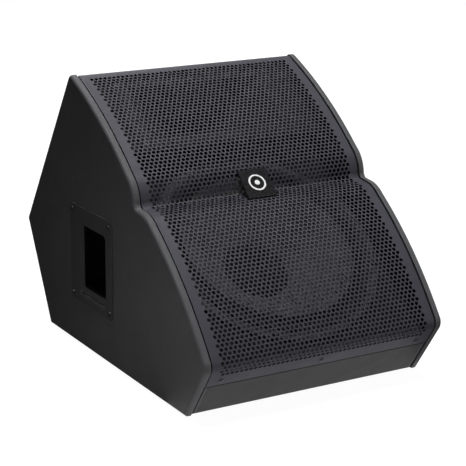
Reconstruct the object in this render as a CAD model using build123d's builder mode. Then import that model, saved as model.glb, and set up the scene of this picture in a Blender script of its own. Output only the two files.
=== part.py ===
"""Stage monitor wedge: a two-way loudspeaker cabinet that lies on the floor.

X runs across the cabinet, +Y to its rear and +Z up. The origin is on the floor under the
middle of the cabinet. Outlines are drawn as (y, z) from a point (Y0, Z0) next to the front
bottom corner of the sides.
"""
import os
from math import cos, hypot, pi, radians, sin

from build123d import *

# Driving dimensions, mm
WIDTH = 432                     # over the two side panels
SIDE_T = 12                     # side panel thickness
PANEL_T = 15                    # bottom, kick and rear panels
BAFFLE_T = 18                   # both baffles
INSET = 1.8                     # how far the sides stand proud of everything between them
SHEET_T = 1.5                   # grille sheet
BAFFLE_ANGLE = 35               # both baffles above the floor
FOOT_DROP = 2.7                 # feet below the edges of the sides

INNER = WIDTH / 2 - SIDE_T      # inner face of a side panel
CHEEK_T = 17                    # cleat inside each side that carries the grille

# Corners of the side outline
FRONT_BOTTOM = (-1.2, 0)
REAR_BOTTOM = (486.7, 0)
REAR_POINT = (575, 171)
TOP = (389, 458)
NOSE = (-65.8, 94.4)
UPPER_ARC_END = (185, 331.8)
UPPER_ARC_MID = (260.5, 389.6)
RISER_MID = (168.2, 314)
RISER_END = (161, 290.5)
VALLEY = (157.5, 285)
SHELF_START = (136, 282.9)
SHELF_MID = (120.1, 277.8)
SHELF_END = (107, 269)
LOWER_ARC_MID = (29.1, 205.3)

Y0 = -257
Z0 = FOOT_DROP

WOOFER_AT = (120.1, 202.6)      # woofer axis on the lower baffle's front
STEP_AT = (250.4, 346.7)        # lower front edge of the upper baffle
HORN_UP = 83.5                  # horn axis above that edge, along the baffle
KICK_H = 65.5                   # kick panel's visible height up the slope
SEAM = 2                        # gap between the kick panel's face and the grille
SIDE_GAP = 2.5                  # gap between the grille and each side panel
KICK_GAP = 3.2                  # groove between the kick panel's face and each side panel
GAP_DEPTH = 8                   # how deep these gaps go into what is behind them


def side_plane(x=0):
    """The (y, z) drawing plane at a given x."""
    return Plane(origin=(x, Y0, Z0), x_dir=(0, 1, 0), z_dir=(1, 0, 0))


def slope_plane(at, angle, depth=0):
    """Plane on a slope that faces forward and up. Its local x is X and its local y runs uphill."""
    up = (0, -sin(radians(angle)), cos(radians(angle)))
    base = Plane(origin=(0, Y0 + at[0], Z0 + at[1]), x_dir=(1, 0, 0), z_dir=up)
    return base.offset(-depth)


def direction(p, q):
    """Unit vector from p to q."""
    length = hypot(q[0] - p[0], q[1] - p[1])
    return ((q[0] - p[0]) / length, (q[1] - p[1]) / length)


def inset_line(p, q, depth):
    """Line p-q of the outline moved inwards: a point on it and its direction."""
    u = direction(p, q)
    return (p[0] - u[1] * depth, p[1] + u[0] * depth), u


def meet(first, second):
    """Crossing of two lines, each a point and a direction."""
    (p, u), (q, v) = first, second
    t = ((q[0] - p[0]) * v[1] - (q[1] - p[1]) * v[0]) / (u[0] * v[1] - u[1] * v[0])
    return (p[0] + u[0] * t, p[1] + u[1] * t)


def along(line, t):
    """Point at distance t along a line."""
    (p, u) = line
    return (p[0] + u[0] * t, p[1] + u[1] * t)


SLOPE = (cos(radians(BAFFLE_ANGLE)), sin(radians(BAFFLE_ANGLE)))
OUT = (-SLOPE[1], SLOPE[0])


def slope_line(at, height=0):
    """Line up the baffle slope through a point, raised out of the slope by height."""
    return (at[0] + OUT[0] * height, at[1] + OUT[1] * height), SLOPE


BOTTOM = (FRONT_BOTTOM, REAR_BOTTOM)
REAR_LOWER = (REAR_BOTTOM, REAR_POINT)
REAR_UPPER = (REAR_POINT, TOP)
KICK = (NOSE, FRONT_BOTTOM)

os.makedirs("parts", exist_ok=True)


def finish(builder, name):
    """Label a finished piece and write its STEP file."""
    builder.part.label = name
    export_step(builder.part, f"parts/{name}.step")


def corner_near(vertices, point):
    """The vertex of a sketch closest to a point of the outline."""
    return min(vertices, key=lambda v: hypot(v.X - point[0], v.Y - point[1]))


with BuildSketch(side_plane()) as side_face:
    with BuildLine():
        Polyline(NOSE, FRONT_BOTTOM, REAR_BOTTOM, REAR_POINT, TOP)
        ThreePointArc(TOP, UPPER_ARC_MID, UPPER_ARC_END)
        ThreePointArc(UPPER_ARC_END, RISER_MID, RISER_END)
        Polyline(RISER_END, VALLEY, SHELF_START)
        ThreePointArc(SHELF_START, SHELF_MID, SHELF_END)
        ThreePointArc(SHELF_END, LOWER_ARC_MID, NOSE)
    make_face()
    for corner, radius in ((NOSE, 18), (TOP, 10), (VALLEY, 6), (RISER_END, 6), (UPPER_ARC_END, 12)):
        fillet(corner_near(side_face.vertices(), corner), radius)


def polygon_between(face, start, end, thickness):
    """Cross-section of a mitred panel along one face of the cabinet."""
    outer = [meet(inset_line(*start, INSET), inset_line(*face, INSET)),
             meet(inset_line(*face, INSET), inset_line(*end, INSET))]
    depth = INSET + thickness
    inner = [meet(inset_line(*face, depth), inset_line(*end, depth)),
             meet(inset_line(*start, depth), inset_line(*face, depth))]
    return outer + inner


# ---------------------------------------------------------------- handle position on the sides
HANDLE_AT = (313, 161)          # (y, z) of the recessed handle's middle
HANDLE_Y = 155                  # flange
HANDLE_Z = 167
HANDLE_CUT = (112, 132)         # hole in the side panel
HANDLE_DEPTH = 62
HANDLE_LIP = 2                  # flange thickness
HANDLE_SCREWS = (134, 146)      # screw spacing

# ---------------------------------------------------------------- input plate, woofer, horn
INPUT_UP = 78                   # input plate's middle above the rear point, up the rear slope
INPUT_SIZE = (170, 86)
INPUT_SCREWS = (156, 72)
GRILLE_SCREW_H = 78.5           # grille screws up the front slope
GRILLE_SCREWS = [(-178, 0), (0, 0), (178, 0)]

WOOFER_R = 187                  # over the frame
WOOFER_CUT = 176
WOOFER_BOLT_R = 179.5
CONE_R = 148
COIL_R = 50

HORN_FLANGE = (300, 150)
HORN_MOUTH = (250, 113)
HORN_SUNK = 4                   # flange let into the baffle
HORN_SCREWS = [(x, y) for x in (-140, 0, 140) for y in (-66, 66)]

WOOFER = slope_plane(WOOFER_AT, BAFFLE_ANGLE)
HORN = slope_plane((STEP_AT[0] + SLOPE[0] * HORN_UP, STEP_AT[1] + SLOPE[1] * HORN_UP), BAFFLE_ANGLE)
REAR_U = direction(*REAR_UPPER)
INPUT_AT = (REAR_POINT[0] + REAR_U[0] * INPUT_UP - REAR_U[1] * INSET,
            REAR_POINT[1] + REAR_U[1] * INPUT_UP + REAR_U[0] * INSET)
INPUT = Plane(origin=(0, Y0 + INPUT_AT[0], Z0 + INPUT_AT[1]),
              x_dir=(-1, 0, 0), z_dir=(0, REAR_U[1], -REAR_U[0]))

# ---------------------------------------------------------------- side panels
with BuildPart() as side_panel_right:
    with BuildSketch(side_plane(INNER)):
        add(side_face.sketch_local)
    extrude(amount=SIDE_T)
    inner_face, *_, outer_face = side_panel_right.faces().sort_by(Axis.X)
    fillet(outer_face.edges(), 6)
    fillet(inner_face.edges(), 1.2)
    with BuildSketch(side_plane(INNER)):
        with Locations(HANDLE_AT):
            RectangleRounded(*HANDLE_CUT, 10)
            with GridLocations(*HANDLE_SCREWS, 2, 2):
                Circle(1.6)
    extrude(amount=SIDE_T, mode=Mode.SUBTRACT)
finish(side_panel_right, "side_panel_right")

with BuildPart() as side_panel_left:
    mirror(side_panel_right.part, about=Plane.YZ)
finish(side_panel_left, "side_panel_left")

# ---------------------------------------------------------------- bottom and rear panels
FOOT_AT = (150, 170)            # foot spacing across and along the bottom
FEET = [(x, y) for x in (-FOOT_AT[0], FOOT_AT[0]) for y in (60, 60 + 2 * FOOT_AT[1])]

with BuildPart() as bottom_panel:
    with BuildSketch(side_plane()):
        Polygon(*polygon_between(BOTTOM, KICK, REAR_LOWER, PANEL_T), align=None)
    extrude(amount=INNER, both=True)
    with Locations(*[(x, Y0 + y, Z0 + INSET) for x, y in FEET]):
        Cylinder(2, 12, align=(Align.CENTER, Align.CENTER, Align.MIN), mode=Mode.SUBTRACT)
finish(bottom_panel, "bottom_panel")

with BuildPart() as rear_lower_panel:
    with BuildSketch(side_plane()):
        Polygon(*polygon_between(REAR_LOWER, BOTTOM, REAR_UPPER, PANEL_T), align=None)
    extrude(amount=INNER, both=True)
finish(rear_lower_panel, "rear_lower_panel")

BAFFLE_FRONT = slope_line(WOOFER_AT)
BAFFLE_BACK = slope_line(WOOFER_AT, -BAFFLE_T)
HORN_FRONT = slope_line(STEP_AT)
HORN_BACK = slope_line(STEP_AT, -BAFFLE_T)
STEP_VECTOR = (STEP_AT[0] - WOOFER_AT[0], STEP_AT[1] - WOOFER_AT[1])
STEP_S = STEP_VECTOR[0] * SLOPE[0] + STEP_VECTOR[1] * SLOPE[1]
STEP_H = STEP_VECTOR[0] * OUT[0] + STEP_VECTOR[1] * OUT[1]
KICK_FACE = inset_line(*KICK, INSET)
KICK_REBATE = inset_line(*KICK, INSET + SHEET_T)
KICK_BACK = inset_line(*KICK, INSET + PANEL_T)
REAR_FACE = inset_line(*REAR_UPPER, INSET)
REAR_BACK = inset_line(*REAR_UPPER, INSET + PANEL_T)
KICK_LENGTH = hypot(NOSE[0] - FRONT_BOTTOM[0], NOSE[1] - FRONT_BOTTOM[1])


def kick_point(height, depth=INSET):
    """Point on the front slope, a height up it and a depth inside the outline."""
    return along(inset_line(*KICK, depth), KICK_LENGTH - height)


def kick_plane(height, depth=INSET):
    """Plane on the front slope, facing out. Its local x is X and its local y runs uphill."""
    at = kick_point(height, depth)
    u = direction(*KICK)
    return Plane(origin=(0, Y0 + at[0], Z0 + at[1]), x_dir=(1, 0, 0), z_dir=(0, u[1], -u[0]))


with BuildPart() as rear_upper_panel:
    with BuildSketch(side_plane()):
        Polygon(
            meet(inset_line(*REAR_LOWER, INSET), REAR_FACE),
            meet(REAR_FACE, HORN_BACK),
            meet(REAR_BACK, HORN_BACK),
            meet(inset_line(*REAR_LOWER, INSET + PANEL_T), REAR_BACK),
            align=None,
        )
    extrude(amount=INNER, both=True)
    with BuildSketch(INPUT.offset(1)):
        RectangleRounded(INPUT_SIZE[0] - 24, INPUT_SIZE[1] - 24, 6)
        with GridLocations(*INPUT_SCREWS, 2, 2):
            Circle(1.6)
    extrude(amount=-PANEL_T - 2, mode=Mode.SUBTRACT)
finish(rear_upper_panel, "rear_upper_panel")

def circle_spots(radius, count, start=0):
    """Evenly spaced spots on a circle."""
    step = 2 * pi / count
    return [(radius * cos(radians(start) + step * i), radius * sin(radians(start) + step * i))
            for i in range(count)]


# ---------------------------------------------------------------- kick panel and baffles
with BuildPart() as kick_panel:
    with BuildSketch(side_plane()):
        Polygon(
            meet(KICK_FACE, inset_line(*BOTTOM, INSET)),
            meet(KICK_BACK, inset_line(*BOTTOM, INSET + PANEL_T)),
            meet(KICK_BACK, BAFFLE_FRONT),
            meet(KICK_REBATE, BAFFLE_FRONT),
            kick_point(KICK_H + SEAM, INSET + SHEET_T),
            kick_point(KICK_H + SEAM, INSET + GAP_DEPTH),
            kick_point(KICK_H, INSET + GAP_DEPTH),
            kick_point(KICK_H),
            align=None,
        )
    extrude(amount=INNER, both=True)
    for gap, low, high in ((KICK_GAP, -20, KICK_H), (SIDE_GAP, KICK_H - 1, KICK_LENGTH)):
        with BuildSketch(side_plane(-INNER), side_plane(INNER - gap)):
            Polygon(
                kick_point(low, INSET - 1),
                kick_point(low, INSET + GAP_DEPTH),
                kick_point(high, INSET + GAP_DEPTH),
                kick_point(high, INSET - 1),
                align=None,
            )
        extrude(amount=gap, mode=Mode.SUBTRACT)
    with BuildSketch(kick_plane(GRILLE_SCREW_H)):
        with Locations(*GRILLE_SCREWS):
            Circle(1.6)
    extrude(amount=-PANEL_T - 2, mode=Mode.SUBTRACT)
finish(kick_panel, "kick_panel")

with BuildPart() as lower_baffle:
    with BuildSketch(side_plane()):
        Polygon(
            meet(KICK_BACK, BAFFLE_FRONT),
            meet(KICK_BACK, BAFFLE_BACK),
            along(BAFFLE_BACK, STEP_S + PANEL_T),
            along(BAFFLE_FRONT, STEP_S + PANEL_T),
            align=None,
        )
    extrude(amount=INNER, both=True)
    with BuildSketch(WOOFER):
        Circle(WOOFER_CUT)
        with Locations(*circle_spots(WOOFER_BOLT_R, 8, 22.5)):
            Circle(3.1)
    extrude(amount=-BAFFLE_T, mode=Mode.SUBTRACT)
finish(lower_baffle, "lower_baffle")

with BuildPart() as baffle_battens:
    for side in (-1, 1):
        with BuildSketch(WOOFER.offset(-BAFFLE_T)):
            with Locations((side * (INNER - 9), -2)):
                Rectangle(18, 340)
        extrude(amount=-18)
finish(baffle_battens, "baffle_battens")

# A short rail joins the two baffles. Its two slots are the cabinet's vents.
with BuildPart() as vent_rail:
    with BuildSketch(side_plane()):
        Polygon(
            along(BAFFLE_FRONT, STEP_S),
            along(BAFFLE_FRONT, STEP_S + PANEL_T),
            along(HORN_BACK, PANEL_T),
            along(HORN_BACK, 0),
            align=None,
        )
    extrude(amount=INNER, both=True)
    vent_face = Plane(origin=WOOFER.from_local_coords((0, STEP_S, (STEP_H - BAFFLE_T) / 2)),
                      x_dir=(1, 0, 0), z_dir=WOOFER.y_dir)
    with BuildSketch(vent_face):
        with GridLocations(190, 1, 2, 1):
            RectangleRounded(150, 16, 7.5)
    extrude(amount=PANEL_T, mode=Mode.SUBTRACT)
finish(vent_rail, "vent_rail")

with BuildPart() as upper_baffle:
    with BuildSketch(side_plane()):
        Polygon(
            along(HORN_FRONT, 0),
            along(HORN_BACK, 0),
            meet(HORN_BACK, REAR_FACE),
            meet(HORN_FRONT, REAR_FACE),
            align=None,
        )
    extrude(amount=INNER, both=True)
    with BuildSketch(HORN):
        RectangleRounded(HORN_FLANGE[0] + 3, HORN_FLANGE[1] + 3, 9)
    extrude(amount=-HORN_SUNK, mode=Mode.SUBTRACT)
    with BuildSketch(HORN):
        RectangleRounded(HORN_MOUTH[0] + 12, HORN_MOUTH[1] + 12, 8)
        with Locations(*HORN_SCREWS):
            Circle(1.6)
    extrude(amount=-BAFFLE_T, mode=Mode.SUBTRACT)
finish(upper_baffle, "upper_baffle")

TOP_RAIL_S = 160                # where the top rail starts on the upper baffle
with BuildPart() as top_rail:
    with BuildSketch(side_plane()) as section:
        add(side_face.sketch_local)
        offset(amount=-INSET - SHEET_T, mode=Mode.REPLACE)
        Polygon(
            along(HORN_FRONT, TOP_RAIL_S),
            meet(HORN_FRONT, REAR_FACE),
            meet(slope_line(STEP_AT, 60), REAR_FACE),
            along(slope_line(STEP_AT, 60), TOP_RAIL_S),
            align=None,
            mode=Mode.INTERSECT,
        )
    extrude(amount=INNER, both=True)
finish(top_rail, "top_rail")

# Cheeks inside the sides, cut to the curve of the grille, which lies on them. They are lower
# under the gap beside the grille.
with BuildPart() as grille_cheeks:
    for x, depth, thickness in ((INNER, GAP_DEPTH, SIDE_GAP),
                                (INNER - SIDE_GAP, INSET + SHEET_T, CHEEK_T - SIDE_GAP)):
        with BuildSketch(side_plane(x)):
            add(side_face.sketch_local)
            offset(amount=-depth, mode=Mode.REPLACE)
            Polygon(
                along(BAFFLE_FRONT, -300),
                along(BAFFLE_FRONT, STEP_S),
                along(HORN_FRONT, 0),
                along(HORN_FRONT, TOP_RAIL_S),
                along(slope_line(STEP_AT, 60), TOP_RAIL_S),
                along(slope_line(STEP_AT, 300), 0),
                align=None,
                mode=Mode.INTERSECT,
            )
        extrude(amount=-thickness)
    mirror(about=Plane.YZ)
finish(grille_cheeks, "grille_cheeks")


def section_of(plane):
    """Plane through a slope plane's own axis: local x is X, local y is that plane's normal."""
    return Plane(origin=plane.origin, x_dir=plane.x_dir, z_dir=-plane.y_dir)


def axis_of(plane):
    """The line that a slope plane faces along, to turn profiles about."""
    return Axis(plane.origin, plane.z_dir)


def ring(name, plane, r_in, r_out, low, high):
    """A plain ring or disc about a plane's axis, between two heights above the plane."""
    with BuildPart() as piece:
        with BuildSketch(plane.offset(low)):
            Circle(r_out)
            if r_in:
                Circle(r_in, mode=Mode.SUBTRACT)
        extrude(amount=high - low)
    finish(piece, name)


def turned(name, plane, *profiles):
    """A piece turned about a plane's axis from closed (radius, height) polygons."""
    with BuildPart() as piece:
        with BuildSketch(section_of(plane)):
            for profile in profiles:
                Polygon(*profile, align=None)
        revolve(axis=axis_of(plane))
    finish(piece, name)


def screws(name, placings, head_r, head_h, shaft_r, shaft_l):
    """Pan-headed screws with a hexagon socket. Each placing is a plane and its spots."""
    with BuildPart() as piece:
        for plane, spots in placings:
            with BuildSketch(plane):
                with Locations(*spots):
                    Circle(head_r)
            extrude(amount=head_h, taper=8)
            with BuildSketch(plane):
                with Locations(*spots):
                    Circle(shaft_r)
            extrude(amount=-shaft_l)
        for plane, spots in placings:
            with BuildSketch(plane.offset(head_h)):
                with Locations(*spots):
                    RegularPolygon(head_r * 0.5, 6)
            extrude(amount=-head_h * 0.6, mode=Mode.SUBTRACT)
    finish(piece, name)


def grid(across, along_y):
    """The four corners of a screw pattern."""
    return [(x * across / 2, y * along_y / 2) for x in (-1, 1) for y in (-1, 1)]


# ---------------------------------------------------------------- grille and badge
GRILLE_END_Y = 384              # the sheet stops over the top rail
BADGE_AT = (152.6, 301.4)
BADGE_ANGLE = 43.4
BADGE_SIZE = 52.5
BADGE_T = 2

with BuildPart() as grille:
    with BuildSketch(side_plane()):
        add(side_face.sketch_local)
        offset(amount=-INSET, mode=Mode.REPLACE)
        add(offset(side_face.sketch_local, amount=-INSET - SHEET_T, mode=Mode.PRIVATE),
            mode=Mode.SUBTRACT)
        Polygon(
            kick_point(KICK_H + SEAM, -30),
            kick_point(KICK_H + SEAM, 30),
            (GRILLE_END_Y, 330),
            (GRILLE_END_Y, 600),
            (-200, 600),
            align=None,
            mode=Mode.INTERSECT,
        )
    extrude(amount=INNER - SIDE_GAP, both=True)
    with BuildSketch(kick_plane(GRILLE_SCREW_H)):
        with Locations(*GRILLE_SCREWS):
            Circle(2.3)
    extrude(amount=-6, mode=Mode.SUBTRACT)
finish(grille, "grille")

screws("grille_screws", [(kick_plane(GRILLE_SCREW_H), GRILLE_SCREWS)], 4, 2, 1.6, 15)

BADGE = slope_plane(BADGE_AT, BADGE_ANGLE)

with BuildPart() as badge_plate:
    with BuildSketch(BADGE.offset(-1)):
        RectangleRounded(BADGE_SIZE, BADGE_SIZE, 1.5)
    extrude(amount=BADGE_T)
    chamfer(badge_plate.faces().sort_by(Axis(BADGE.origin, BADGE.z_dir))[-1].edges(), 0.7)
finish(badge_plate, "badge_plate")

# Raised pictogram of a loudspeaker cone: a ring with a dot.
with BuildPart() as badge_emblem:
    with BuildSketch(BADGE.offset(BADGE_T - 1)):
        Circle(15)
        Circle(12, mode=Mode.SUBTRACT)
        Circle(4.5)
    extrude(amount=0.6)
finish(badge_emblem, "badge_emblem")

# Two studs behind the badge stand on the sheet on either side of its crease.
with BuildPart() as badge_studs:
    with BuildSketch(BADGE.offset(-1)):
        with Locations((0, -17), (0, 17)):
            Circle(3)
    extrude(amount=-16)
    with BuildSketch(side_plane()):
        add(side_face.sketch_local)
        offset(amount=-INSET, mode=Mode.REPLACE)
    extrude(amount=20, both=True, mode=Mode.SUBTRACT)
finish(badge_studs, "badge_studs")

# ---------------------------------------------------------------- woofer
WOOFER_BOLTS = circle_spots(WOOFER_BOLT_R, 8, 22.5)
with BuildPart() as woofer_seal:
    with BuildSketch(WOOFER):
        Circle(WOOFER_R)
        Circle(176.2, mode=Mode.SUBTRACT)
        with Locations(*WOOFER_BOLTS):
            Circle(3.2, mode=Mode.SUBTRACT)
    extrude(amount=1)
finish(woofer_seal, "woofer_seal")

with BuildPart() as woofer_frame:
    with BuildSketch(section_of(WOOFER)):
        Polygon((160, 1), (WOOFER_R - 1, 1), (WOOFER_R, 2), (WOOFER_R, 5), (WOOFER_R - 1, 6),
                (160, 6), align=None)
        Polygon((175, 3), (175, -14), (104, -98), (104, -104), (60, -104), (60, -100),
                (99, -100), (99, -96), (169, -13), (169, 3), align=None)
        Polygon((96, -73), (119.5, -73), (122, -70), (96, -70), align=None)
    revolve(axis=axis_of(WOOFER))
    with Locations(WOOFER.offset(-45)):
        with PolarLocations(152, 6, start_angle=30):
            Box(70, 84, 42, mode=Mode.SUBTRACT)
    with BuildSketch(WOOFER.offset(7)):
        with Locations(*WOOFER_BOLTS):
            Circle(3.2)
    extrude(amount=-7, mode=Mode.SUBTRACT)
finish(woofer_frame, "woofer_frame")

ring("woofer_gasket", WOOFER, 160, 172, 6.8, 9.8)

# Cloth surround: two rolls between the frame's lip and the cone's edge.
with BuildPart() as woofer_surround:
    with BuildSketch(section_of(WOOFER)):
        with BuildLine():
            Polyline((160, 6.8), (172, 6.8), (172, 6), (160, 6))
            ThreePointArc((160, 6), (157, 8.4), (154, 6))
            ThreePointArc((154, 6), (151, 8.4), (CONE_R, 6))
            Polyline((CONE_R, 6), (143.5, 6), (143.5, 6.8), (CONE_R, 6.8))
            ThreePointArc((CONE_R, 6.8), (151, 9.2), (154, 6.8))
            ThreePointArc((154, 6.8), (157, 9.2), (160, 6.8))
        make_face()
    revolve(axis=axis_of(WOOFER))
finish(woofer_surround, "woofer_surround")

with BuildPart() as woofer_cone:
    with BuildSketch(section_of(WOOFER)):
        with BuildLine():
            Polyline((142, 6), (CONE_R, 6), (CONE_R, 4.8), (143, 4.8))
            ThreePointArc((143, 4.8), (97, -31.5), (COIL_R + 0.8, -62))
            Line((COIL_R + 0.8, -62), (COIL_R + 0.8, -60.2))
            ThreePointArc((COIL_R + 0.8, -60.2), (97, -30), (142, 6))
        make_face()
    revolve(axis=axis_of(WOOFER))
finish(woofer_cone, "woofer_cone")

with BuildPart() as woofer_dust_cap:
    with BuildSketch(section_of(WOOFER)):
        with BuildLine():
            TangentArc((0, -42.4), (55, -57.6), tangent=(1, 0))
            Line((55, -57.6), (53.6, -57.8))
            TangentArc((0, -43.3), (53.6, -57.8), tangent=(1, 0))
            Line((0, -43.3), (0, -42.4))
        make_face()
    revolve(axis=axis_of(WOOFER))
finish(woofer_dust_cap, "woofer_dust_cap")

# Corrugated spider between the coil former and the frame's shelf.
with BuildPart() as woofer_spider:
    WAVES = 4
    WAVE = (92 - 56) / WAVES
    with BuildSketch(section_of(WOOFER)):
        with BuildLine():
            Line((56, -70), (COIL_R + 0.8, -70))
            Line((COIL_R + 0.8, -70), (COIL_R + 0.8, -69.3))
            Line((COIL_R + 0.8, -69.3), (56, -69.3))
            for i in range(WAVES):
                start = 56 + i * WAVE
                ThreePointArc((start, -69.3), (start + WAVE / 2, -67), (start + WAVE, -69.3))
                ThreePointArc((start, -70), (start + WAVE / 2, -67.7), (start + WAVE, -70))
            Polyline((92, -69.3), (104, -69.3), (104, -70), (92, -70))
        make_face()
    revolve(axis=axis_of(WOOFER))
finish(woofer_spider, "woofer_spider")

ring("woofer_coil_former", WOOFER, COIL_R, COIL_R + 0.5, -116, -58.6)
ring("woofer_coil_winding", WOOFER, COIL_R + 0.5, COIL_R + 1.6, -118, -98)
ring("woofer_top_plate", WOOFER, 53, 88, -112, -104)
ring("woofer_magnet", WOOFER, 57, 95, -136, -112)
turned("woofer_yoke", WOOFER,
       [(15, -148), (86, -148), (88, -146), (88, -136), (48.6, -136), (48.6, -102), (15, -102)])
screws("woofer_screws", [(WOOFER.offset(6), WOOFER_BOLTS)], 5.5, 4, 3, 22)

# ---------------------------------------------------------------- horn and its driver
HORN_THROAT = -122
HORN_WAIST = -62
with BuildPart() as horn:
    with BuildSketch(HORN.offset(-HORN_SUNK)):
        RectangleRounded(HORN_MOUTH[0] + 6, HORN_MOUTH[1] + 6, 6)
    with BuildSketch(HORN.offset(HORN_WAIST)):
        RectangleRounded(120, 68, 6)
    loft()
    with BuildSketch(HORN.offset(HORN_WAIST)):
        RectangleRounded(120, 68, 6)
    with BuildSketch(HORN.offset(HORN_THROAT)):
        Circle(23)
    loft()
    with BuildSketch(HORN.offset(HORN_THROAT)):
        Circle(60)
    extrude(amount=-8)
    with BuildSketch(HORN.offset(-HORN_SUNK)):
        RectangleRounded(*HORN_FLANGE, 8)
    extrude(amount=HORN_SUNK + 1)
    with BuildSketch(HORN.offset(1)):
        RectangleRounded(*HORN_MOUTH, 5)
    with BuildSketch(HORN.offset(HORN_WAIST)):
        RectangleRounded(113, 61, 4)
    loft(mode=Mode.SUBTRACT)
    with BuildSketch(HORN.offset(HORN_WAIST)):
        RectangleRounded(113, 61, 4)
    with BuildSketch(HORN.offset(HORN_THROAT - 8)):
        Circle(18)
    loft(mode=Mode.SUBTRACT)
    with BuildSketch(HORN.offset(1)):
        with Locations(*HORN_SCREWS):
            Circle(2.3)
    extrude(amount=-HORN_SUNK - 1, mode=Mode.SUBTRACT)
    with BuildSketch(HORN.offset(HORN_THROAT)):
        with Locations(*circle_spots(51, 4, 45)):
            Circle(3.2)
    extrude(amount=-8, mode=Mode.SUBTRACT)
finish(horn, "horn")

screws("horn_screws", [(HORN.offset(1), HORN_SCREWS)], 4, 2.2, 1.6, 18)
screws("hf_bolts", [(HORN.offset(HORN_THROAT), circle_spots(51, 4, 45))], 5, 5, 3, 16)

HF = HORN.offset(HORN_THROAT - 8)
with BuildPart() as hf_yoke:
    with BuildSketch(section_of(HF)):
        Polygon((18, 0), (60, 0), (60, -10), (21.5, -10), (21.5, -34), (11.5, -34), (18, -8),
                align=None)
    revolve(axis=axis_of(HF))
    with BuildSketch(HF):
        with Locations(*circle_spots(51, 4, 45)):
            Circle(3)
    extrude(amount=-8, mode=Mode.SUBTRACT)
finish(hf_yoke, "hf_yoke")
turned("hf_phase_plug", HF, [(0, -34), (9.5, -34), (3, -14), (0, -10)])
ring("hf_magnet", HF, 30, 60, -28, -10)
ring("hf_top_plate", HF, 23.4, 58, -36, -28)
ring("hf_diaphragm_mount", HF, 23.8, 42, -39, -36)

with BuildPart() as hf_diaphragm:
    with BuildSketch(section_of(HF)):
        with BuildLine():
            TangentArc((0, -46), (22.9, -36), tangent=(1, 0))
            Polyline((22.9, -36), (22.9, -30), (22.4, -30), (22.4, -35.8))
            TangentArc((0, -45.5), (22.4, -35.8), tangent=(1, 0))
            Line((0, -45.5), (0, -46))
        make_face()
    revolve(axis=axis_of(HF))
finish(hf_diaphragm, "hf_diaphragm")

turned("hf_rear_cap", HF,
       [(44, -36), (56, -36), (56, -56), (50, -62), (0, -62), (0, -58), (44, -58)])

# ---------------------------------------------------------------- recessed handles
HANDLE = Plane(origin=(WIDTH / 2, Y0 + HANDLE_AT[0], Z0 + HANDLE_AT[1]),
               x_dir=(0, 1, 0), z_dir=(1, 0, 0))
with BuildPart() as handle_right:
    with BuildSketch(HANDLE):
        RectangleRounded(HANDLE_Y, HANDLE_Z, 12)
    extrude(amount=HANDLE_LIP)
    chamfer(handle_right.faces().sort_by(Axis.X)[-1].edges(), 1)
    with BuildSketch(HANDLE):
        RectangleRounded(HANDLE_CUT[0] - 2, HANDLE_CUT[1] - 2, 9)
    extrude(amount=-HANDLE_DEPTH)
    # The cavity is taller than its mouth, so fingers hook behind the top lip.
    with BuildSketch(HANDLE.offset(-5)):
        RectangleRounded(HANDLE_CUT[0] - 8, HANDLE_CUT[1] - 8, 8)
    with BuildSketch(HANDLE.offset(3 - HANDLE_DEPTH)):
        with Locations((0, 6)):
            RectangleRounded(HANDLE_CUT[0] - 22, HANDLE_CUT[1] - 30, 8)
    loft(mode=Mode.SUBTRACT)
    # Mouth, with a bevelled edge and a scooped lower lip.
    with BuildSketch(HANDLE.offset(HANDLE_LIP)):
        with Locations((-6, -8.5)):
            RectangleRounded(98, 125, 8)
    with BuildSketch(HANDLE.offset(-5)):
        with Locations((-6, -3)):
            RectangleRounded(88, 108, 5)
    loft(mode=Mode.SUBTRACT)
    with BuildSketch(HANDLE.offset(HANDLE_LIP)):
        with GridLocations(*HANDLE_SCREWS, 2, 2):
            Circle(2.2)
    extrude(amount=-HANDLE_LIP, mode=Mode.SUBTRACT)
finish(handle_right, "handle_right")

with BuildPart() as handle_left:
    mirror(handle_right.part, about=Plane.YZ)
finish(handle_left, "handle_left")

HANDLE_MIRROR = Plane(origin=(-WIDTH / 2, Y0 + HANDLE_AT[0], Z0 + HANDLE_AT[1]),
                      x_dir=(0, -1, 0), z_dir=(-1, 0, 0))
screws("handle_screws", [(HANDLE.offset(HANDLE_LIP), grid(*HANDLE_SCREWS)),
                         (HANDLE_MIRROR.offset(HANDLE_LIP), grid(*HANDLE_SCREWS))],
       4, 1.8, 1.6, 13)

# ---------------------------------------------------------------- feet
FLOOR = Plane(origin=(0, 0, 0), x_dir=(1, 0, 0), z_dir=(0, 0, -1))
FOOT_H = INSET + FOOT_DROP
FOOT_RECESS = 2.5
with BuildPart() as rubber_feet:
    with BuildSketch(Plane.XY):
        with Locations(*[(x, Y0 + y) for x, y in FEET]):
            Circle(15)
    extrude(amount=FOOT_H)
    with BuildSketch(Plane.XY):
        with Locations(*[(x, Y0 + y) for x, y in FEET]):
            Circle(6)
    extrude(amount=FOOT_RECESS, mode=Mode.SUBTRACT)
    with BuildSketch(Plane.XY):
        with Locations(*[(x, Y0 + y) for x, y in FEET]):
            Circle(2.3)
    extrude(amount=FOOT_H, mode=Mode.SUBTRACT)
finish(rubber_feet, "rubber_feet")
screws("foot_screws", [(FLOOR.offset(-FOOT_RECESS), [(x, -(Y0 + y)) for x, y in FEET])],
       4, 2, 1.9, 13)

# ---------------------------------------------------------------- input plate and sockets
SOCKET_X = (-38, 38)
with BuildPart() as input_plate:
    with BuildSketch(INPUT):
        RectangleRounded(*INPUT_SIZE, 5)
        with GridLocations(*INPUT_SCREWS, 2, 2):
            Circle(2.2, mode=Mode.SUBTRACT)
        with Locations(*[(x, 0) for x in SOCKET_X]):
            Circle(15.2, mode=Mode.SUBTRACT)
            with GridLocations(36, 36, 1, 2):
                Circle(1.7, mode=Mode.SUBTRACT)
    extrude(amount=2)
finish(input_plate, "input_plate")
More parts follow.
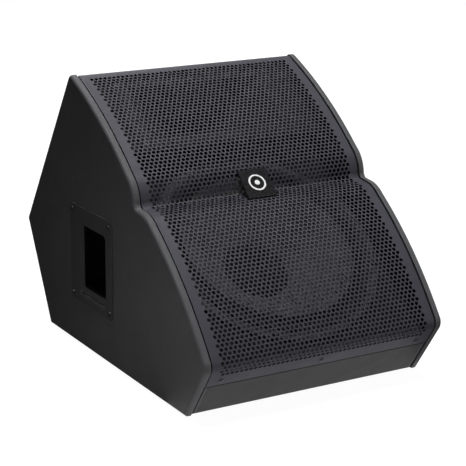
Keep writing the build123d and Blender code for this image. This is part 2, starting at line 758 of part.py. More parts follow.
# Round twist-lock speaker sockets: a shell with a keyed ring gap around a short core.
for letter, x in zip("ab", SOCKET_X):
    spot = Plane(origin=INPUT.from_local_coords((x, 0, 2)), x_dir=INPUT.x_dir, z_dir=INPUT.z_dir)
    with BuildPart() as socket:
        with BuildSketch(spot):
            Circle(15)
        extrude(amount=-28)
        with BuildSketch(spot):
            RectangleRounded(31, 45, 4)
        extrude(amount=1.8)
        with BuildSketch(spot.offset(1.8)):
            Circle(12)
        extrude(amount=-21.8, mode=Mode.SUBTRACT)
        with BuildSketch(spot.offset(-20)):
            Circle(6.5)
        extrude(amount=9)
        with BuildSketch(spot.offset(1.8)):
            with Locations((0, 12.5), (0, -12.5)):
                Rectangle(4, 3)
        extrude(amount=-14, mode=Mode.SUBTRACT)
        with BuildSketch(spot.offset(1.8)):
            with GridLocations(36, 36, 1, 2):
                Circle(1.7)
        extrude(amount=-1.8, mode=Mode.SUBTRACT)
        with BuildSketch(spot.offset(-28)):
            with Locations((-7, 0), (7, 0)):
                Rectangle(0.8, 6.3)
        extrude(amount=-9)
    finish(socket, f"speaker_socket_{letter}")

with BuildPart() as input_screws:
    for plane, spots, head_r in (
        (INPUT.offset(2), grid(*INPUT_SCREWS), 3.6),
        (INPUT.offset(3.8), [(x, y) for x in SOCKET_X for y in (-18, 18)], 2.8),
    ):
        with BuildSketch(plane):
            with Locations(*spots):
                Circle(head_r)
        extrude(amount=head_r / 2, taper=8)
        with BuildSketch(plane):
            with Locations(*spots):
                Circle(1.5)
        extrude(amount=-9)
        with BuildSketch(plane.offset(head_r / 2)):
            with Locations(*spots):
                RegularPolygon(head_r / 2, 6)
        extrude(amount=-head_r / 3, mode=Mode.SUBTRACT)
finish(input_screws, "input_screws")

# ---------------------------------------------------------------- crossover on the bottom panel
FLOOR_IN = INSET + PANEL_T      # top of the bottom panel
BOARD = Plane(origin=(0, Y0 + 375, Z0 + FLOOR_IN + 10))
BOARD_SIZE = (210, 110)
BOARD_HOLES = (198, 98)
with BuildPart() as crossover_board:
    with BuildSketch(BOARD):
        RectangleRounded(*BOARD_SIZE, 3)
        with GridLocations(*BOARD_HOLES, 2, 2):
            Circle(1.7, mode=Mode.SUBTRACT)
    extrude(amount=1.6)
finish(crossover_board, "crossover_board")

with BuildPart() as board_standoffs:
    with BuildSketch(BOARD.offset(-10)):
        with GridLocations(*BOARD_HOLES, 2, 2):
            Circle(4)
            Circle(1.6, mode=Mode.SUBTRACT)
    extrude(amount=10)
finish(board_standoffs, "board_standoffs")
screws("board_screws", [(BOARD.offset(1.6), grid(*BOARD_HOLES))], 3.2, 1.8, 1.5, 10)

TOPSIDE = BOARD.offset(1.6)
with BuildPart() as crossover_coils:
    for x, y, r in ((-68, 8, 28), (64, 14, 22)):
        with BuildSketch(TOPSIDE):
            with Locations((x, y)):
                Circle(r)
                Circle(r * 0.42, mode=Mode.SUBTRACT)
        extrude(amount=r * 0.9)
    fillet(crossover_coils.edges().filter_by(GeomType.CIRCLE), 2.5)
finish(crossover_coils, "crossover_coils")

with BuildPart() as crossover_capacitors:
    with Locations(TOPSIDE):
        for x, y, r, length in ((-10, 26, 13, 46), (-8, -8, 11, 40), (12, -36, 9, 34)):
            with Locations(Location((x, y, r), (0, 90, 0))):
                Cylinder(r, length)
    fillet(crossover_capacitors.edges().filter_by(GeomType.CIRCLE), 1.5)
finish(crossover_capacitors, "crossover_capacitors")

with BuildPart() as crossover_resistors:
    with BuildSketch(TOPSIDE):
        with Locations((66, -22), (66, -36)):
            Rectangle(44, 9)
    extrude(amount=9)
finish(crossover_resistors, "crossover_resistors")

with BuildPart() as crossover_terminals:
    with BuildSketch(TOPSIDE):
        with Locations((20, 46), (-60, -42)):
            Rectangle(40, 10)
    extrude(amount=12)
finish(crossover_terminals, "crossover_terminals")

# ---------------------------------------------------------------- terminals on the two drivers


def terminals(name, plane, radius, side, low, high):
    """A block that fits a round driver's edge, with two solder tags pointing away from it."""
    with BuildPart() as piece:
        with BuildSketch(plane.offset(low)):
            with Locations((0, side * (radius + 2))):
                Rectangle(28, 12)
            Circle(radius, mode=Mode.SUBTRACT)
        extrude(amount=high - low)
        with BuildSketch(plane.offset((low + high) / 2 - 0.5)):
            with Locations((-8, side * (radius + 11)), (8, side * (radius + 11))):
                Rectangle(5, 6)
        extrude(amount=1)
    finish(piece, name)


WOOFER_TAGS = (104, -104, -98)
HF_TAGS = (60, -24, -14)
terminals("woofer_terminals", WOOFER, WOOFER_TAGS[0], 1, *WOOFER_TAGS[1:])
terminals("hf_terminals", HF, HF_TAGS[0], -1, *HF_TAGS[1:])

# ---------------------------------------------------------------- inside wiring
WIRE_R = 1.3


def wire(points):
    """Round wire along straight runs joined by arcs as large as the runs allow."""
    runs = [Vector(*b) - Vector(*a) for a, b in zip(points, points[1:])]
    radii = []
    for before, after in zip(runs, runs[1:]):
        half_turn = radians(before.get_angle(after)) / 2
        radii.append(0.45 * min(before.length, after.length) * cos(half_turn) / sin(half_turn))
    with BuildPart() as piece:
        with BuildLine() as path:
            FilletPolyline(*points, radius=radii)
        with BuildSketch(Plane(origin=points[0], z_dir=runs[0])):
            Circle(WIRE_R)
        sweep(path=path.line)
    return piece.part


def wires(name, *routes):
    """One node of several wires."""
    with BuildPart() as bundle:
        for route in routes:
            add(wire(route))
    finish(bundle, name)


def inside(x, y, z):
    """Point given across the cabinet and in the side drawing."""
    return (x, Y0 + y, Z0 + z)


def at_plane(plane, x, y, z):
    """Point given in a plane's own coordinates."""
    return tuple(plane.from_local_coords((x, y, z)))


TAB_END = -35
BLOCK_TOP = FLOOR_IN + 23.6
REAR_BLOCK_Y = 421
FRONT_BLOCK_Y = 333


def link(start, end, lean):
    """Route between the tabs of the two sockets, bowed away from the plate."""
    return [at_plane(INPUT, start, lean, TAB_END), at_plane(INPUT, start, lean, TAB_END - 20),
            at_plane(INPUT, (start + end) / 2, 6 * lean, TAB_END - 34),
            at_plane(INPUT, end, lean, TAB_END - 20), at_plane(INPUT, end, lean, TAB_END)]


wires(
    "input_wires",
    [at_plane(INPUT, -45, -2, TAB_END), at_plane(INPUT, -45, -2, TAB_END - 24),
     inside(48, 450, 158), inside(40, 434, 118), inside(28, REAR_BLOCK_Y, 84),
     inside(28, REAR_BLOCK_Y, BLOCK_TOP)],
    [at_plane(INPUT, -31, 2, TAB_END), at_plane(INPUT, -31, 2, TAB_END - 30),
     inside(24, 444, 154), inside(16, 430, 114), inside(12, REAR_BLOCK_Y, 80),
     inside(12, REAR_BLOCK_Y, BLOCK_TOP)],
    link(-45, 31, 2.2),
    link(-31, 45, -2.2),
)


def driver_routes(plane, tags, side, starts, middles):
    """A pair of routes from the front block of the crossover to a driver's tags."""
    radius, low, high = tags
    height = (low + high) / 2
    return [
        [inside(x, FRONT_BLOCK_Y, BLOCK_TOP)]
        + [inside(x + lean, y, z) for lean, y, z in middles]
        + [at_plane(plane, tag, side * (radius + 42), height),
           at_plane(plane, tag, side * (radius + 14), height)]
        for x, tag in zip(starts, (-8, 8))
    ]


wires(
    "driver_wires",
    *driver_routes(WOOFER, WOOFER_TAGS, 1, (-76, -66),
                   [(0, FRONT_BLOCK_Y, 82), (8, 326, 122), (26, 318, 160), (46, 312, 192)]),
    *driver_routes(HF, HF_TAGS, -1, (-54, -44),
                   [(0, FRONT_BLOCK_Y, 80), (6, 340, 118), (18, 340, 156), (32, 334, 186)]),
)
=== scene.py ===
"""Looks of the stage monitor wedge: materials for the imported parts, the perforated sheet that
stands for the grille's plain CAD solid, a pale floor, soft studio light and the camera.
Everything is in metres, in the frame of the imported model.
"""
from math import cos, pi, radians, sin

import bmesh
import bpy
from mathutils import Matrix, Vector
from mathutils.geometry import delaunay_2d_cdt


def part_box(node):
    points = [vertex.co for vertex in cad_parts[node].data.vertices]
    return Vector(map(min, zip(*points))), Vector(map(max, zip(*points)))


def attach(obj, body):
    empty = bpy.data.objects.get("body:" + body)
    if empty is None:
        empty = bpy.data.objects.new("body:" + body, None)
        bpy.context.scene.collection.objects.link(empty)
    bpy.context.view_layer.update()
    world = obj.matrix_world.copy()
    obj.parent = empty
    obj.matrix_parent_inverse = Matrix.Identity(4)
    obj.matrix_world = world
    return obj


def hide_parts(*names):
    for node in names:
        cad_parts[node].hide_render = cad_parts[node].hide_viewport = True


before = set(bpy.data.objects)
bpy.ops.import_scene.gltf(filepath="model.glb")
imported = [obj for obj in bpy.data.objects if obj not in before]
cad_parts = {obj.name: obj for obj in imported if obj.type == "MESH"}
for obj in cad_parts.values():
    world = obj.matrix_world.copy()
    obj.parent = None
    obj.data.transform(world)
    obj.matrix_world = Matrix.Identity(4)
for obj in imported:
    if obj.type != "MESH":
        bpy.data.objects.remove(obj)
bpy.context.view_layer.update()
SCENE = bpy.context.scene
SCENE.view_settings.view_transform = "Standard"


def placed(name, data):
    """A new object in the scene."""
    added = bpy.data.objects.new(name, data)
    SCENE.collection.objects.link(added)
    return added


# ---------------------------------------------------------------- camera
CAMERA_AT = Vector((-1.2992, -2.2362, 0.9425))
CAMERA_AZIMUTH = radians(-30.5)
CAMERA_ELEVATION = radians(16.13)
CAMERA_ROLL = radians(-0.46)
CAMERA_LENS = 124.98            # mm
CAMERA_SENSOR = 36              # mm

forward = -Vector((sin(CAMERA_AZIMUTH) * cos(CAMERA_ELEVATION),
                   -cos(CAMERA_AZIMUTH) * cos(CAMERA_ELEVATION),
                   sin(CAMERA_ELEVATION)))
level = forward.cross(Vector((0, 0, 1))).normalized()
below = forward.cross(level)
across = cos(CAMERA_ROLL) * level + sin(CAMERA_ROLL) * below
down = cos(CAMERA_ROLL) * below - sin(CAMERA_ROLL) * level

camera = placed("camera", bpy.data.cameras.new("camera"))
camera.data.lens = CAMERA_LENS
camera.data.sensor_width = CAMERA_SENSOR
camera.matrix_world = Matrix((
    (across.x, -down.x, -forward.x, CAMERA_AT.x),
    (across.y, -down.y, -forward.y, CAMERA_AT.y),
    (across.z, -down.z, -forward.z, CAMERA_AT.z),
    (0, 0, 0, 1),
))
SCENE.camera = camera


# ---------------------------------------------------------------- node helpers
looks = {}                      # materials by the name of the slot that they are for


class Shader:
    """A material's node tree around one Principled shader."""

    def __init__(self, name, color, roughness, metallic=0.0, specular=0.5):
        self.material = bpy.data.materials.new(name + "_look")
        self.material.use_nodes = True
        self.nodes = self.material.node_tree.nodes
        self.links = self.material.node_tree.links
        self.shader = self.nodes["Principled BSDF"]
        self.set("Base Color", (*color, 1))
        self.set("Roughness", roughness)
        self.set("Metallic", metallic)
        self.set("Specular IOR Level", specular)
        self.place = self.node("ShaderNodeTexCoord").outputs["Object"]
        self.relief = None
        looks[name] = self.material

    def set(self, socket, value):
        self.shader.inputs[socket].default_value = value

    def drive(self, socket, value):
        self.links.new(value, self.shader.inputs[socket])

    def node(self, kind, inputs=None, **settings):
        """A new node. A value that is an output socket is linked, and any other is set."""
        added = self.nodes.new(kind)
        for key, value in settings.items():
            setattr(added, key, value)
        for key, value in (inputs or {}).items():
            if isinstance(value, bpy.types.NodeSocket):
                self.links.new(value, added.inputs[key])
            else:
                added.inputs[key].default_value = value
        return added

    # Coordinates, and patterns that go from 0 to 1
    def stretched(self, scale):
        """Object coordinates scaled by axis."""
        return self.node("ShaderNodeMapping", {"Vector": self.place, "Scale": scale}).outputs[0]

    def noise(self, scale, detail=3, roughness=0.55, place=None):
        return self.node("ShaderNodeTexNoise", {
            "Vector": place or self.place, "Scale": scale, "Detail": detail,
            "Roughness": roughness,
        }).outputs["Fac"]

    def cells(self, scale, feature, place=None):
        return self.node("ShaderNodeTexVoronoi", {
            "Vector": place or self.place, "Scale": scale,
        }, feature=feature).outputs["Distance"]

    def waves(self, scale, direction, distortion=0.0, place=None, detail_scale=1.0):
        return self.node("ShaderNodeTexWave", {
            "Vector": place or self.place, "Scale": scale, "Distortion": distortion,
            "Detail": 2, "Detail Scale": detail_scale,
        }, bands_direction=direction).outputs["Fac"]

    # Values made from others
    def math(self, operation, a, b=0.0):
        return self.node("ShaderNodeMath", {0: a, 1: b}, operation=operation).outputs[0]

    def ranged(self, value, low, high, to_low, to_high):
        return self.node("ShaderNodeMapRange", {
            "Value": value, "From Min": low, "From Max": high,
            "To Min": to_low, "To Max": to_high,
        }).outputs[0]

    def along(self, axis, vector=None):
        """One coordinate of a vector, or of the point's place."""
        return self.node("ShaderNodeSeparateXYZ", {0: vector or self.place}).outputs[axis]

    def from_middle(self):
        """How far a point is from the cabinet's middle plane."""
        return self.math("ABSOLUTE", self.along("X"))

    def normal(self):
        return self.node("ShaderNodeNewGeometry").outputs["Normal"]

    def edges(self, radius):
        """Mask that is 1 on edges and 0 on flat faces."""
        soft = self.node("ShaderNodeBevel", {"Radius": radius}, samples=4).outputs[0]
        turn = self.node("ShaderNodeVectorMath", {0: soft, 1: self.normal()},
                         operation="DOT_PRODUCT").outputs["Value"]
        return self.ranged(turn, 1.0, 0.86, 0.0, 1.0)

    # What the shader gets
    def colors(self, value, first, second):
        """Base colour between two colours."""
        mix = self.node("ShaderNodeMix", {0: value, 6: (*first, 1), 7: (*second, 1)},
                        data_type="RGBA")
        self.drive("Base Color", mix.outputs[2])

    def color_over(self, mask, color):
        """Another colour over what drives the base colour, where mask is 1."""
        before = self.shader.inputs["Base Color"].links[0].from_socket
        mix = self.node("ShaderNodeMix", {0: mask, 6: before, 7: (*color, 1)},
                        data_type="RGBA")
        self.drive("Base Color", mix.outputs[2])

    def rough(self, value, low, high):
        """Roughness from low to high over the middle of a pattern's values."""
        self.drive("Roughness", self.ranged(value, 0.3, 0.7, low, high))

    def bump(self, height, distance):
        """Adds relief over any relief made before."""
        inputs = {"Height": height, "Distance": distance, "Strength": 1.0}
        if self.relief is not None:
            inputs["Normal"] = self.relief
        self.relief = self.node("ShaderNodeBump", inputs).outputs[0]
        self.drive("Normal", self.relief)


def shade(color, factor):
    """A colour made lighter or darker."""
    return tuple(min(1.0, c * factor) for c in color)


# ---------------------------------------------------------------- kinds of surface
# Each takes the slot's name, colour and roughness, then the size of its pattern and how deep
# its relief is.
WEAR_RADIUS = 0.0012            # how far wear reaches from an edge


def speckled(name, color, rough, scale, relief, contrast=0.25, **settings):
    """Moulded, cast or rubber surface: mottled colour and gloss with a fine grain."""
    s = Shader(name, color, rough, **settings)
    s.colors(s.noise(scale * 0.12), shade(color, 1 - contrast), shade(color, 1 + contrast))
    s.rough(s.noise(scale * 0.3), max(0.05, rough - 0.08), min(1, rough + 0.08))
    s.bump(s.noise(scale, detail=2), relief)
    return s


def painted(name, color, rough, scale, relief, wear_color, mottle=0.14, **settings):
    """Rolled or sprayed structure paint, worn a little along the edges."""
    s = Shader(name, color, rough, **settings)
    clouds = s.noise(9, detail=6, roughness=0.7)
    s.colors(clouds, shade(color, 1 - mottle), shade(color, 1 + mottle))
    s.rough(s.noise(35, detail=4), rough - 0.05, rough + 0.06)
    patches = s.ranged(s.noise(70, detail=5), 0.52, 0.66, 0, 0.8)
    s.color_over(s.math("MULTIPLY", s.edges(WEAR_RADIUS), patches), wear_color)
    s.bump(s.cells(scale, "SMOOTH_F1"), relief)
    s.bump(s.noise(scale * 2.3, detail=2), relief * 0.5)
    return s


def brushed(name, color, rough, scale, stretch):
    """Bare or plated metal with fine scratches along one axis."""
    s = Shader(name, color, rough, metallic=1.0)
    lines = s.noise(scale, detail=4, place=s.stretched(stretch))
    s.colors(s.noise(40, detail=4), shade(color, 0.8), shade(color, 1.15))
    s.rough(lines, max(0.05, rough - 0.1), rough + 0.12)
    s.bump(lines, 0.00002)


def woven(name, color, rough, pitch, relief, **settings):
    """Plain weave: threads that pass over and under each other."""
    s = Shader(name, color, rough, **settings)
    scale = pi / (20 * pitch)   # a wave pattern at scale 1 has 20 / (2 pi) bands per metre
    threads = s.math("MAXIMUM", s.waves(scale, "X"), s.waves(scale, "Y"))
    s.colors(s.math("MULTIPLY", threads, s.noise(400)), shade(color, 0.6), shade(color, 1.6))
    s.rough(s.noise(300), rough - 0.06, min(1, rough + 0.06))
    s.bump(threads, relief)


# ---------------------------------------------------------------- materials, by slot
CABINET_COLOR = (0.041, 0.041, 0.0435)
# Painted highlight: lighter colour for the rounded edges of the two sides, where they catch the
# light
EDGE_HIGHLIGHT_COLOR = (0.076, 0.076, 0.081)
SIDES_FROM = 0.197              # a side panel's part of the cabinet, from the middle plane
END_FACE = 0.020                # the end of the upper baffle that shows at the back

cabinet = painted("cabinet_paint", CABINET_COLOR, 0.58, 900, 0.0003, (0.085, 0.085, 0.088),
                  mottle=0.3, specular=0.3)
# Painted highlight: the rounded edges of the two sides, which turn up toward the light, are
# painted lighter than their faces.
on_sides = cabinet.ranged(cabinet.from_middle(), SIDES_FROM - 0.001, SIDES_FROM + 0.001, 0, 1)
facing_out = cabinet.math("ABSOLUTE", cabinet.along("X", cabinet.normal()))
painted_highlight_edges = cabinet.ranged(facing_out, 0.95, 0.6, 0, 1)
cabinet.color_over(cabinet.math("MULTIPLY", on_sides, painted_highlight_edges), EDGE_HIGHLIGHT_COLOR)

baffle = painted("baffle_paint", (0.010, 0.010, 0.011), 0.75, 700, 0.0002,
                 (0.04, 0.035, 0.03), specular=0.15)
# Its end at the back has the paint of the cabinet.
end_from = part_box("upper_baffle")[1].y - END_FACE
at_end = baffle.ranged(baffle.along("Y"), end_from - 0.001, end_from + 0.001, 0, 1)
baffle.color_over(at_end, CABINET_COLOR)

painted("grille_steel", (0.0425, 0.0405, 0.0535), 0.55, 1500, 0.00012, (0.10, 0.10, 0.11),
        specular=0.35)
painted("plate_steel", (0.028, 0.028, 0.030), 0.42, 1600, 0.0001, (0.2, 0.2, 0.2))
painted("cap_metal", (0.05, 0.05, 0.055), 0.45, 1200, 0.0001, (0.2, 0.2, 0.2))
painted("cast_frame", (0.042, 0.042, 0.045), 0.6, 500, 0.0003, (0.20, 0.20, 0.21),
        specular=0.25)

handle = speckled("handle_plastic", (0.034, 0.034, 0.036), 0.62, 1300, 0.00016,
                  specular=0.12)
# Painted shade: the cup behind the handle's rim is painted near black, as if in deep shade.
cup_painted_shade = handle.ranged(handle.from_middle(), 0.207, 0.196, 0, 1)
handle.color_over(cup_painted_shade, (0.002, 0.002, 0.002))

speckled("badge_black", (0.008, 0.008, 0.009), 0.30, 900, 0.00002, specular=0.4)
speckled("badge_white", (0.80, 0.80, 0.79), 0.4, 700, 0.00003, contrast=0.06)
speckled("horn_plastic", (0.011, 0.011, 0.012), 0.6, 1100, 0.00008, specular=0.2)
speckled("socket_plastic", (0.025, 0.026, 0.030), 0.38, 1200, 0.00005)
speckled("foot_rubber", (0.018, 0.018, 0.018), 0.78, 800, 0.00012)
speckled("foam", (0.022, 0.022, 0.023), 0.95, 1500, 0.0005, specular=0.15)
speckled("ferrite", (0.045, 0.045, 0.048), 0.6, 500, 0.00015, contrast=0.4)
speckled("standoff", (0.75, 0.74, 0.70), 0.45, 400, 0.00003, contrast=0.06)
speckled("capacitor", (0.50, 0.34, 0.05), 0.35, 200, 0.00008, contrast=0.15)
speckled("ceramic", (0.70, 0.69, 0.65), 0.75, 900, 0.00012, contrast=0.1)
speckled("terminal_plastic", (0.06, 0.16, 0.09), 0.45, 700, 0.00004)
speckled("terminal_strip", (0.22, 0.11, 0.045), 0.5, 500, 0.00006)
speckled("wire_red", (0.42, 0.022, 0.018), 0.42, 300, 0.00005, contrast=0.12)
speckled("former", (0.42, 0.17, 0.03), 0.35, 400, 0.00003)

brushed("black_screw", (0.13, 0.13, 0.135), 0.36, 900, (1, 1, 0.2))
brushed("zinc_screw", (0.58, 0.58, 0.56), 0.34, 900, (1, 1, 0.2))
brushed("plated_steel", (0.55, 0.55, 0.52), 0.36, 500, (0.15, 1, 1))
brushed("titanium", (0.50, 0.49, 0.48), 0.3, 700, (1, 0.2, 1))

woven("cloth", (0.006, 0.006, 0.006), 0.85, 0.0009, 0.00025, specular=0.15)
woven("dust_cloth", (0.007, 0.007, 0.007), 0.8, 0.0006, 0.00015, specular=0.2)
woven("spider_cloth", (0.36, 0.22, 0.07), 0.85, 0.0009, 0.00025)

paper = Shader("paper", (0.09, 0.09, 0.09), 0.85, specular=0.2)
fibres = paper.noise(900, detail=5, place=paper.stretched((1, 0.35, 0.6)))
paper.colors(fibres, (0.050, 0.049, 0.048), (0.100, 0.098, 0.095))
paper.rough(paper.noise(60), 0.78, 0.92)
paper.bump(fibres, 0.0004)

copper = Shader("copper", (0.62, 0.24, 0.11), 0.32, metallic=1.0)
turns = copper.waves(160, "Z")
copper.colors(turns, (0.30, 0.10, 0.05), (0.72, 0.30, 0.15))
copper.rough(copper.noise(200), 0.25, 0.42)
copper.bump(turns, 0.0003)

board = Shader("board", (0.02, 0.10, 0.05), 0.4)
tracks = board.cells(90, "DISTANCE_TO_EDGE", place=board.stretched((1, 0.4, 1)))
board.colors(board.ranged(tracks, 0.1, 0.14, 1, 0), (0.012, 0.075, 0.035), (0.03, 0.15, 0.07))
board.rough(board.noise(300), 0.3, 0.5)
board.bump(tracks, 0.00006)

ply = Shader("raw_ply", (0.52, 0.36, 0.20), 0.7, specular=0.3)
grain = ply.waves(14, "X", distortion=6, place=ply.stretched((1, 0.1, 1)), detail_scale=2)
ply.colors(grain, (0.40, 0.26, 0.13), (0.62, 0.45, 0.26))
ply.rough(ply.noise(120), 0.6, 0.8)
ply.bump(grain, 0.0003)

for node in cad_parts.values():
    for slot in node.material_slots:
        slot.material = looks[slot.material.name]

# ---------------------------------------------------------------- perforated grille
SHEET_T = 0.0015
PITCH = 0.008                   # between holes in a row
ROW = PITCH * 3 ** 0.5 / 2      # between rows
HOLE_R = 0.0031
BACK_R = 0.0035                 # the punch breaks out a little wider at the back
HOLES = 47                      # in a long row, and one fewer in the short rows between
FIRST_ROW = 0.0274              # from the sheet's front edge
LAST_MARGIN = 0.010             # least width of plain sheet at its rear edge
FRONT_CORNERS = 12              # of a hole's outline at the front
BACK_CORNERS = FRONT_CORNERS // 2
EDGE_STEP = 0.0023              # between vertices along the sheet's sides
MARGIN_COLUMNS = 60             # of vertices in the plain margins, so they can bend
FRONT_MARGIN = (0.008, 0.016, 0.024)
REAR_MARGIN = (0.005, 0.008)    # after the last row of holes
REAR_LINE = 0.002               # before the sheet's rear edge
SHARP = radians(40)


def end_outline(node, x):
    """The closed (y, z) outline of a CAD node's flat end at x."""
    bm = bmesh.new()
    bm.from_mesh(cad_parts[node].data)
    bmesh.ops.remove_doubles(bm, verts=bm.verts, dist=1e-6)
    end = {f for f in bm.faces if all(abs(v.co.x - x) < 1e-5 for v in f.verts)}
    border = [e for e in bm.edges if sum(f in end for f in e.link_faces) == 1]
    beside = {}
    for edge in border:
        a, b = edge.verts
        beside.setdefault(a, []).append(b)
        beside.setdefault(b, []).append(a)
    first = border[0].verts[0]
    loop = [first, beside[first][0]]
    while len(loop) < len(border):
        a, b = beside[loop[-1]]
        loop.append(a if b is loop[-2] else b)
    points = [Vector((v.co.y, v.co.z)) for v in loop]
    bm.free()
    return points


def length_of(line):
    return sum((b - a).length for a, b in zip(line, line[1:]))


def outer_line(outline):
    """The long outer side of a bent sheet's outline, from its lowest end to its rear end."""
    n = len(outline)
    low = sorted(range(n), key=lambda i: outline[i].y)[:2]
    rear = sorted(range(n), key=lambda i: -outline[i].x)[:2]
    sides = []
    for start in low:
        for step in (1, -1):
            line = [start]
            while line[-1] not in rear:
                line.append((line[-1] + step) % n)
            if not set(low) <= set(line):
                sides.append([outline[i] for i in line])
    return max(sides, key=length_of)


class Curve:
    """A smooth line through points, read by the distance along it."""

    def __init__(self, points):
        self.points = [p for i, p in enumerate(points)
                       if i == 0 or (p - points[i - 1]).length > 1e-6]
        chords = [b - a for a, b in zip(self.points, self.points[1:])]
        self.at = [0.0]
        for chord in chords:
            self.at.append(self.at[-1] + chord.length)
        self.length = self.at[-1]
        inner = [(a / a.length_squared + b / b.length_squared).normalized()
                 for a, b in zip(chords, chords[1:])]
        self.tangents = [self.mirrored(inner[0], chords[0]), *inner,
                         self.mirrored(inner[-1], chords[-1])]

    @staticmethod
    def mirrored(tangent, chord):
        """The tangent at one end of a chord from that at its other end, as on an arc."""
        chord = chord.normalized()
        return (2 * chord.dot(tangent) * chord - tangent).normalized()

    def read(self, s):
        """Point and outward normal at distance s."""
        i = max(0, min(len(self.at) - 2, sum(1 for a in self.at if a <= s) - 1))
        span = self.at[i + 1] - self.at[i]
        t = (s - self.at[i]) / span
        p, q = self.points[i], self.points[i + 1]
        u, v = self.tangents[i] * span, self.tangents[i + 1] * span
        point = ((2 * t ** 3 - 3 * t ** 2 + 1) * p + (t ** 3 - 2 * t ** 2 + t) * u
                 + (3 * t ** 2 - 2 * t ** 3) * q + (t ** 3 - t ** 2) * v)
        along = ((6 * t ** 2 - 6 * t) * p + (3 * t ** 2 - 4 * t + 1) * u
                 + (6 * t - 6 * t ** 2) * q + (3 * t ** 2 - 2 * t) * v).normalized()
        return point, Vector((-along.y, along.x))


def face_net(holes, radius, corners, border, spare):
    """Triangles between round holes in a flat sheet, with each hole's own vertices."""
    points, rings = [*border, *spare], []
    for x, s in holes:
        rings.append(range(len(points), len(points) + corners))
        for k in range(corners):
            angle = (2 * k + 1) * pi / corners
            points.append(Vector((x + radius * cos(angle), s + radius * sin(angle))))
    owner = {i: number for number, ring in enumerate(rings) for i in ring}
    edge = [(i, (i + 1) % len(border)) for i in range(len(border))]
    found, _, faces, origin, _, _ = delaunay_2d_cdt(points, edge, [], 1, 1e-7)
    if len(found) != len(points):
        raise SystemExit("the sheet's net gained or lost points")
    faces = [[origin[i][0] for i in f] for f in faces]
    faces = [f for f in faces if len({owner.get(i, -1 - i) for i in f}) > 1]
    return points, rings, faces


def perforated_sheet(name, line, half_width):
    """Bent sheet with staggered rows of punched holes, closed at its edges."""
    rows = int((line.length - FIRST_ROW - LAST_MARGIN) / ROW) + 1
    holes = []
    for row in range(rows):
        count = HOLES - (row + 1) % 2
        s = FIRST_ROW + row * ROW
        holes += [((i - (count - 1) / 2) * PITCH, s) for i in range(count)]
    steps = int(line.length / EDGE_STEP)
    sides = [line.length * i / steps for i in range(steps + 1)]
    border = [Vector((half_width, s)) for s in sides]
    border += [Vector((-half_width, s)) for s in reversed(sides)]
    last = FIRST_ROW + (rows - 1) * ROW
    margins = [*FRONT_MARGIN, *(last + s for s in REAR_MARGIN), line.length - REAR_LINE]
    spare = [Vector((half_width * (2 * i / MARGIN_COLUMNS - 1), s))
             for s in margins if s < line.length - REAR_LINE / 2
             for i in range(1, MARGIN_COLUMNS)]
    front, front_rings, front_faces = face_net(holes, HOLE_R, FRONT_CORNERS, border, spare)
    back, back_rings, back_faces = face_net(holes, BACK_R, BACK_CORNERS, border, spare)
    verts = []
    for points, depth in ((front, 0), (back, SHEET_T)):
        for p in points:
            at, out = line.read(p.y)
            verts.append((p.x, at.x - out.x * depth, at.y - out.y * depth))
    n = len(front)
    faces = front_faces + [[n + i for i in reversed(f)] for f in back_faces]
    # A hole's wall: each side of its outline at the back meets two sides at the front.
    for a, b in zip(front_rings, back_rings):
        for m in range(BACK_CORNERS):
            here, there = n + b[m], n + b[(m + 1) % BACK_CORNERS]
            faces.append([a[2 * m + 1], a[2 * m], here])
            faces.append([a[(2 * m + 2) % FRONT_CORNERS], a[2 * m + 1], here, there])
    for i in range(len(border)):
        k = (i + 1) % len(border)
        faces.append([k, i, n + i, n + k])
    mesh = bpy.data.meshes.new(name)
    mesh.from_pydata(verts, [], faces)
    mesh.validate()
    bm = bmesh.new()
    bm.from_mesh(mesh)
    bmesh.ops.recalc_face_normals(bm, faces=bm.faces)
    bm.to_mesh(mesh)
    bm.free()
    mesh.shade_smooth()
    mesh.set_sharp_from_angle(angle=SHARP)
    return placed(name, mesh)


grille_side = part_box("grille")[1].x
profile = Curve(outer_line(end_outline("grille", grille_side)))
sheet = perforated_sheet("grille_sheet", profile, grille_side)
sheet.data.materials.append(looks["grille_steel"])
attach(sheet, "cabinet")
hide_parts("grille")

# ---------------------------------------------------------------- floor and backdrop
FLOOR_R = 14
WALL_R = 13.5
WALL_H = 9
RIM_SIDES = 96


def rim(radius, z):
    """Vertices around a level circle."""
    return [(radius * cos(2 * pi * i / RIM_SIDES), radius * sin(2 * pi * i / RIM_SIDES), z)
            for i in range(RIM_SIDES)]


def studio_paper(name, verts, faces, light, reflect):
    """Pale matt surface that keeps a steady brightness and doesn't light the part."""
    mesh = bpy.data.meshes.new(name)
    mesh.from_pydata(verts, [], faces)
    s = Shader(name + "_paper", (reflect,) * 3, 1.0, specular=0.0)
    s.set("Emission Color", (1, 1, 1, 1))
    s.set("Emission Strength", light)
    mesh.materials.append(s.material)
    added = placed(name, mesh)
    added.visible_diffuse = False
    added.visible_glossy = False
    return added


floor = studio_paper("floor", rim(FLOOR_R, 0), [list(range(RIM_SIDES))], 0.96, 0.15)

wall = [(i, (i + 1) % RIM_SIDES, RIM_SIDES + (i + 1) % RIM_SIDES, RIM_SIDES + i)
        for i in range(RIM_SIDES)]
backdrop = studio_paper("backdrop", rim(WALL_R, 0) + rim(WALL_R, WALL_H), wall, 1.05, 0.0)
backdrop.visible_shadow = False

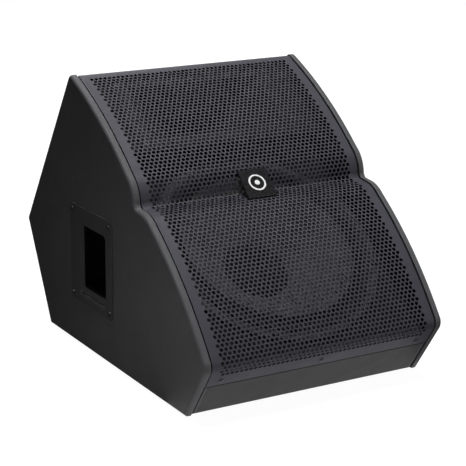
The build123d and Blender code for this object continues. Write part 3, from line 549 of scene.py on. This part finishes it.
# ---------------------------------------------------------------- light
# Soft boxes: name, place, the point that it faces, width and height, watts
SOFTBOXES = (
    ("overhead", (-0.05, -0.2, 3.4), (0, 0, 0.25), (1.3, 1.3), 124),
    ("front", (1.0, -2.9, 1.0), (0, -0.1, 0.2), (1.6, 1.0), 5),
    ("bounce", (-0.575, -0.72, 0.004), (-0.575, -0.72, 1), (1.59, 1.04), 3.35),
    ("fill_left", (-0.6, -0.08, 0.07), (-0.2, -0.08, 0.1), (0.4, 0.1), 0.55),
    ("fill_right", (0.9, -0.1, 0.3), (0.2, 0, 0.2), (0.5, 0.3), 1.5),
    ("fill_kick", (0.35, -0.85, 0.12), (0.16, -0.28, 0.08), (0.4, 0.15), 0.45),
    ("rear", (0.5, 3.0, 1.9), (0, 0, 0.2), (2.0, 1.4), 85),
)

for name, at, towards, size, watts in SOFTBOXES:
    lamp = placed(name, bpy.data.lights.new(name, "AREA"))
    lamp.data.shape = "RECTANGLE"
    lamp.data.size, lamp.data.size_y = size
    lamp.data.energy = watts
    lamp.location = at
    lamp.rotation_mode = "QUATERNION"
    lamp.rotation_quaternion = (Vector(towards) - Vector(at)).to_track_quat("-Z", "Y")
    lamp.visible_camera = False

# The studio's own light is a ramp by height. Below the horizon it is the bounce of the floor.
STRAIGHT_DOWN = (0.15, 0.15, 0.15, 1)
HALF_DOWN = (0.06, 0.06, 0.06, 1)
HORIZON = (0.03, 0.03, 0.03, 1)
STRAIGHT_UP = (0.06, 0.06, 0.065, 1)

world = bpy.data.worlds.new("studio")
world.use_nodes = True
nodes, links = world.node_tree.nodes, world.node_tree.links
split = nodes.new("ShaderNodeSeparateXYZ")
links.new(nodes.new("ShaderNodeTexCoord").outputs["Generated"], split.inputs[0])
height = nodes.new("ShaderNodeMapRange")
links.new(split.outputs["Z"], height.inputs["Value"])
height.inputs["From Min"].default_value = -1
ramp = nodes.new("ShaderNodeValToRGB")
links.new(height.outputs[0], ramp.inputs["Fac"])
stops = ramp.color_ramp.elements
stops.new(0.25).color = HALF_DOWN
stops.new(0.5).color = HORIZON
stops[0].color = STRAIGHT_DOWN
stops[-1].color = STRAIGHT_UP
links.new(ramp.outputs["Color"], nodes["Background"].inputs["Color"])
nodes["Background"].inputs["Strength"].default_value = 1
SCENE.world = world
